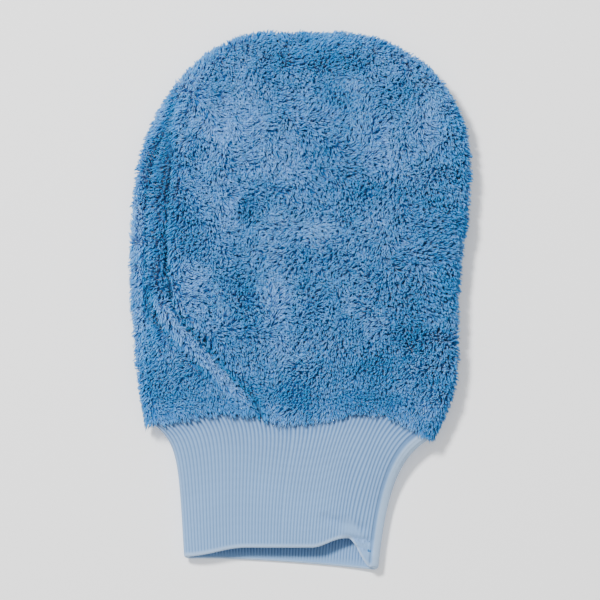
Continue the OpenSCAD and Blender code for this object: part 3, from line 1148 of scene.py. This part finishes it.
@dataclass
class RibCuff:
    """The cuff: one tube of rib knit, folded double at its hem and sewn to the mouth."""

    # One rib's width and height, and how many columns of points it has
    rib_mm: float = 1.62
    rib_h: float = 0.36
    per_rib: int = 6
    # Tucks at the hem's right, where it is pulled down: each from x, y to x, y, with its depth and width
    tucks: tuple = (
        (24, -119, 35, -121.5, 2.6, 1.3), (27, -123.5, 35.5, -125.5, 2.4, 1.1),
        (12, -109, 33, -115, 1.3, 2.2))
    # Loops of points along the outer face, the inner face and each hidden face between the plies
    outer_rows: int = 46
    inner_rows: int = 24
    middle_rows: int = 17
    # The tube's cut: round its flat width, and twice the cuff's length with two allowances
    cut_width: float = 218.0
    cut_length: float = 160.0
    # Each ply's thickness, the share of the length at which the hem's fold starts, and the seam's turn
    ply: float = 1.15
    fold_v: float = 0.985
    seam_turn: float = 29.0
    # How long the cuff is along its middle
    long_mm: float = 76.0

    def turns(self) -> tuple[Array, Array, int]:
        """Spaces the columns evenly round the neck.

        Returns:
            Each column's turn, its share of the way round, and how many ribs there are.
        """
        fine = np.linspace(0, 360, 1441)
        neck = FORM.cuff(fine, np.full_like(fine, 0.75), np.full_like(fine, 0.4))
        walked = walk(neck[:, [0, 2]])
        ribs = round(walked[-1] / self.rib_mm)
        share = np.arange(ribs * self.per_rib) / (ribs * self.per_rib)
        return np.interp(share * walked[-1], walked, fine), share, ribs

    def folds(self, points: Array, v: Array) -> Array:
        """Shapes the slack of the knit and the soft tucks at the front hem's right.

        Args:
            points: The cuff's points.
            v: From 0 at the seam to 1 at the hem.

        Returns:
            How far each point is pushed up.
        """
        x, y = points[..., 0], points[..., 1]
        lift = 0.35 * np.sin(y / 11 + x / 19) * smooth(v * 3)
        for x0, y0, x1, y1, deep, wide in self.tucks:
            dx, dy = x1 - x0, y1 - y0
            long = math.hypot(dx, dy)
            along = ((x - x0) * dx + (y - y0) * dy) / long
            off = ((x - x0) * dy - (y - y0) * dx) / long
            ends = smooth((along + 4) / 6) * smooth((long + 2.5 - along) / 5)
            lift = lift + ends * deep * (0.12 * hump(off - 1.7 * wide, 1.2 * wide) - hump(off, wide))
        return lift

    def rows(self) -> list[tuple[float, float, float, float]]:
        """Lists the loops of the cuff's section, from the mouth out over the hem and back.

        Returns:
            Each loop's v, its depth, how strongly it is ribbed (below 0 inside) and whether it is the fold.
        """
        start, wall = self.fold_v, FORM.wall
        rows = [(v, 0.0, 1.0, 0.0) for v in np.linspace(0, start, self.outer_rows)]
        for a in np.radians(np.linspace(20, 160, 6)):
            rows.append((start + (1 - start) * math.sin(a), wall / 2 * (1 - math.cos(a)), 0.25, 1.0))
        rows += [(v, wall, -1.0, 0.0) for v in np.linspace(start, 0, self.inner_rows)]
        rows += [(v, wall - self.ply, 0.0, 0.0) for v in np.linspace(0, 0.96, self.middle_rows)]
        return rows + [(v, self.ply, 0.0, 0.0) for v in np.linspace(0.96, 0, self.middle_rows)]

    def loops(self, turn: Array, crest: Array) -> tuple[Array, Array, Array]:
        """Lays each loop of the section round the cuff.

        Args:
            turn: Each column's turn.
            crest: From 0 between ribs to 1 on a rib, for each column.

        Returns:
            The points, how far each one is on a crest, lowered next to the seam for painted shadow, and how
            far it is on a pale fold.
        """
        # The knit is smooth at the left fold, and from the right fold over to the seam
        from_left, from_right = np.abs(turn - 180), np.where(turn < 180, turn, 380 - turn)
        left_ribs, right_ribs = smooth((from_left - 8) / 12), smooth((from_right - 24) / 8)
        seam = 0.5 * hump(turn - self.seam_turn, 1.9)
        # The strip outside the side seam is drawn pale
        strip = np.maximum(smooth((self.seam_turn - 1 - turn) / 4), smooth((turn - 340) / 12))
        bow = np.sin(np.radians(turn))
        loops, crests, folds = [], [], []
        for v, depth, ribbed, folded in self.rows():
            outer = ribbed == 1.0
            along = np.full_like(turn, v)
            high = smooth((0.5 - v) / 0.4)
            plain = np.maximum(left_ribs, high) * np.maximum(right_ribs, 0.5 * high)
            shape = mix(0.7, crest, plain) if depth < FORM.wall / 2 else crest
            hem = smooth((v - 0.965) / 0.02)
            calm = 1 - 0.8 * hem
            # The ribs are drawn flat where the hem is pulled down
            if outer:
                calm = calm * (1 - 0.8 * smooth((v - 0.8) / 0.08) * smooth((68 - turn) / 14))
            # The ribs are slack and flat in the cuff's middle, and stand up where it is gathered
            gathered = mix(0.8, 1.0, smooth((0.42 - v) / 0.4)) if outer else 1.0
            gathered = np.maximum(gathered, 0.95 * smooth((110 - turn) / 50))
            swell = ribbed * calm * gathered * self.rib_h * (shape - 0.55)
            loop = FORM.cuff(turn, along, depth - swell + seam * outer)
            loop[..., 2] += self.folds(loop, along) * smooth(bow * 3)
            loop[..., 2] = np.maximum(loop[..., 2], 0.02 + depth * 0.9)
            loops.append(loop)
            shown = mix(0.8, shape, abs(ribbed) * calm * gathered) - seam * outer
            # Painted shadow: next to the seam, under the pile that hangs over it, the outer face is drawn
            # darker
            crests.append(shown - 0.22 * smooth((0.16 - v) / 0.16) * outer)
            folds.append(np.maximum(max(folded, 0.7 * hem * outer), strip * outer))
        return np.array(loops), np.array(crests), np.array(folds)

    def build(self) -> bpy.types.Object:
        """Makes the cuff with its ribs, its fold at the hem and both plies.

        Returns:
            The cuff.
        """
        turn, share, ribs = self.turns()
        points, crests, folds = self.loops(turn, 0.5 + 0.5 * np.cos(2 * np.pi * ribs * share))
        n, cols = points.shape[:2]
        last, c = (n - 1) * cols, np.arange(cols)
        after = (c + 1) % cols
        closing = np.stack([last + c, c, after, last + after], -1)
        quads = np.concatenate([grid_quads(n, cols, 0, True, True), closing])
        piece = make_piece("rib_knit_cuff", points.reshape(-1, 3), quads)
        give_attribute(piece, "crest", crests.ravel())
        give_attribute(piece, "fold", folds.ravel())
        layer = piece.data.uv_layers.new(name="cloth")
        steps = np.abs(np.diff([row[0] for row in self.rows()]))
        walked = np.concatenate([[0], np.cumsum(steps)]) * self.long_mm * MM
        round_it = share * ribs * self.rib_mm * MM
        uv = np.stack(np.broadcast_arrays(round_it[None, :], walked[:, None]), -1).reshape(-1, 2)
        index = np.zeros(len(piece.data.loops), np.int32)
        piece.data.loops.foreach_get("vertex_index", index)
        layer.data.foreach_set("uv", uv[index].astype(np.float32).ravel())
        dress(piece, RibKnit().material(), None)
        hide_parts("rib_cuff")
        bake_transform(piece)
        return piece


# ---- Overlock threads ----


@dataclass
class Overlock:
    """Overlock stitches: one thread that winds over the raw edges, stitch by stitch."""

    # One stitch's length, the thread's radius, its sides, and its points in each stitch
    stitch_mm: float = 2.4
    thread_r: float = 0.24
    sides: int = 5
    per_stitch: int = 12
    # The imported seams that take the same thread
    packed: tuple = (
        "edge_lockstitch", "edge_overlock", "cuff_side_seam", "join_lockstitch", "join_overlock")
    # Inside the mouth: how deep the thread lies, how far in from the seam, and half its width and height
    mouth_depth: float = 2.9
    mouth_in: float = 4.0
    mouth_half: float = 3.3
    mouth_bulge: float = 0.85
    # Inside the edge: how far in from the panel's rim it lies, and half its width and height
    edge_in: float = 7.3
    edge_half: float = 2.5
    edge_bulge: float = 2.3

    def tube(self, name: str, line: Array, closed: bool, finish: bpy.types.Material) -> bpy.types.Object:
        """Makes a round thread along a line of points.

        Args:
            name: The piece's name.
            line: The points that it follows.
            closed: Whether its end joins its start.
            finish: The thread's material.

        Returns:
            The thread.
        """
        ahead = np.roll(line, -1, 0) - np.roll(line, 1, 0)
        if not closed:
            ahead[0], ahead[-1] = line[1] - line[0], line[-1] - line[-2]
        way = unit(ahead)
        over = unit(np.cross(way, np.array([0.31, 0.12, 0.94])))
        beside = np.cross(way, over)
        angles = np.linspace(0, 2 * np.pi, self.sides, endpoint=False)
        rings = line[:, None] + self.thread_r * (
            over[:, None] * np.cos(angles)[None, :, None] + beside[:, None] * np.sin(angles)[None, :, None])
        n = len(line)
        quads = grid_quads(n, self.sides, 0, False, True)
        tris = None
        if closed:
            c = np.arange(self.sides)
            after = (c + 1) % self.sides
            last = (n - 1) * self.sides
            quads = np.concatenate([quads, np.stack([last + c, last + after, after, c], -1)])
        else:
            fan = np.arange(1, self.sides - 1)
            start = np.stack([np.zeros_like(fan), fan + 1, fan], -1)
            end = np.stack([np.zeros_like(fan), fan, fan + 1], -1) + (n - 1) * self.sides
            tris = np.concatenate([start, end])
        piece = make_piece(name, rings.reshape(-1, 3), quads, tris)
        dress(piece, finish)
        return piece

    def stitches(self, walked: Array, count: int) -> tuple[Array, Array]:
        """Winds stitches along a walked line.

        Args:
            walked: How far along the line each of its points lies.
            count: How many stitches it takes.

        Returns:
            How far along each point of the thread lies, and how far round its winding it is.
        """
        k = np.arange(count * self.per_stitch)
        return k / len(k) * walked[-1], 2 * np.pi * k / self.per_stitch

    def round_mouth(self) -> Array:
        """Lays the thread over the joined edges inside the mouth.

        Returns:
            The thread's points.
        """
        fine = np.linspace(0, 360, 721)
        walked = walk(FORM.cuff(fine, np.zeros_like(fine), np.full_like(fine, self.mouth_depth)))
        at, a = self.stitches(walked, round(walked[-1] / self.stitch_mm))
        turn = np.interp(at, walked, fine)
        line = FORM.cuff(turn, np.zeros_like(turn), self.mouth_depth + self.mouth_bulge * np.cos(a))
        line[:, 1] = FORM.seam_line(line[:, 0]) + self.mouth_in + self.mouth_half * np.sin(a)
        return line

    def round_edge(self) -> Array:
        """Lays the thread over the raw allowances inside the edge seam.

        Returns:
            The thread's points.
        """
        up, over = np.linspace(0, 1, 300), np.linspace(0, 1, 240)
        u = np.concatenate([np.zeros(300), over, np.ones(300)])
        v = np.concatenate([up, np.ones(240), up[::-1]])
        rim = FORM.panel(u, v, np.full_like(u, 1.0125), Side.FRONT)
        keep = rim[:, 1] > FORM.seam_line(rim[:, 0]) + 9
        rim = rim[keep]
        toward = unit(np.stack([rim[:, 0], rim[:, 1] - np.minimum(rim[:, 1], 45)], -1))
        walked = walk(rim[:, :2] - toward * 7.4)
        at, a = self.stitches(walked, int(walked[-1] / self.stitch_mm))
        x, y, toward_x, toward_y = (np.interp(at, walked, c) for c in (*rim[:, :2].T, *toward.T))
        inward = self.edge_in + self.edge_half * np.cos(a)
        z = FORM.seam_z + self.edge_bulge * np.sin(a)
        return np.stack([x - toward_x * inward, y - toward_y * inward, z], -1)

    def build(self) -> list[bpy.types.Object]:
        """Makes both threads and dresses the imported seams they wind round.

        Returns:
            The two threads.
        """
        finish = SewingThread().material()
        for node in self.packed:
            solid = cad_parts[node]
            solid.data.materials.clear()
            solid.data.materials.append(finish)
        return [self.tube("join_overlock_thread", self.round_mouth(), True, finish),
                self.tube("edge_overlock_thread", self.round_edge(), False, finish)]


# ---- Studio ----


@dataclass
class Studio:
    """A pale table, soft light from the upper left, and a camera straight above."""

    # How much the camera sees at the seam's height, how high it hangs, and its sensor
    view_mm: float = 300.0
    height_mm: float = 3000.0
    sensor_mm: float = 36.0
    sky: float = 0.33
    # The table's own glow, which keeps it pale
    glow: float = 0.3
    # Each lamp's place and side in metres, and its power in watts
    window: tuple = ((-0.66, 0.76, 1.8), 0.3, 66.0)
    overhead: tuple = ((0.0, 0.0, 2.2), 2.0, 15.0)

    def floor(self) -> bpy.types.Object:
        """Makes the table top.

        Returns:
            The table top.
        """
        bpy.ops.mesh.primitive_plane_add(size=12, location=(0, 0, 0))
        table = bpy.context.object
        table.name = "table_top"
        # Matt white laminate hardly shines
        made, _ = start_material("white laminate", {
            "Base Color": (0.92, 0.92, 0.92, 1), "Roughness": 0.9, "Specular IOR Level": 0.1,
            "Emission Color": (1, 1, 1, 1), "Emission Strength": self.glow})
        table.data.materials.append(made)
        return table

    def lamp(self, name: str, place: tuple, size: float, power: float) -> None:
        """Adds a soft square lamp that faces the mitt.

        Args:
            name: The lamp's name.
            place: Where it hangs, in metres.
            size: Its side in metres.
            power: Its power in watts.
        """
        light = bpy.data.lights.new(name, "AREA")
        light.shape = "SQUARE"
        light.size = size
        light.energy = power
        lamp = bpy.data.objects.new(name, light)
        bpy.context.scene.collection.objects.link(lamp)
        lamp.location = place
        lamp.rotation_euler = (-Vector(place)).to_track_quat("-Z", "Y").to_euler()

    def build(self) -> None:
        """Sets the table, the lamps, the sky and the camera."""
        self.floor()
        self.lamp("window", *self.window)
        self.lamp("overhead", *self.overhead)
        world = bpy.data.worlds.new("room")
        world.use_nodes = True
        world.node_tree.nodes["Background"].inputs["Color"].default_value = (1, 1, 1, 1)
        world.node_tree.nodes["Background"].inputs["Strength"].default_value = self.sky
        bpy.context.scene.world = world
        data = bpy.data.cameras.new("camera")
        data.sensor_width = self.sensor_mm
        data.lens = self.sensor_mm * (self.height_mm - FORM.seam_z) / self.view_mm
        data.clip_end = 100
        camera = bpy.data.objects.new("camera", data)
        bpy.context.scene.collection.objects.link(camera)
        camera.location = (0, 0, self.height_mm * MM)
        bpy.context.scene.camera = camera


def main() -> None:
    """Builds the mitt in order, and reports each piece."""
    logging.basicConfig(level=logging.INFO, format="%(name)s: %(message)s")
    bpy.ops.object.select_all(action="DESELECT")
    made: list[bpy.types.Object] = []
    for side in Side:
        made.append(GroundCloth(side).build())
    relief, brushing, yarn = Relief(), Brushing(), PlushPile().material()
    for side in Side:
        panel = PilePanel(side, relief, brushing)
        made.append(panel.bed())
        made += panel.build(yarn)
    made.append(RibCuff().build())
    made += Overlock().build()
    Studio().build()
    for piece in made:
        LOG.info("%s: %d points, %d faces", piece.name, len(piece.data.vertices), len(piece.data.polygons))


if __name__ == "__main__":
    main()
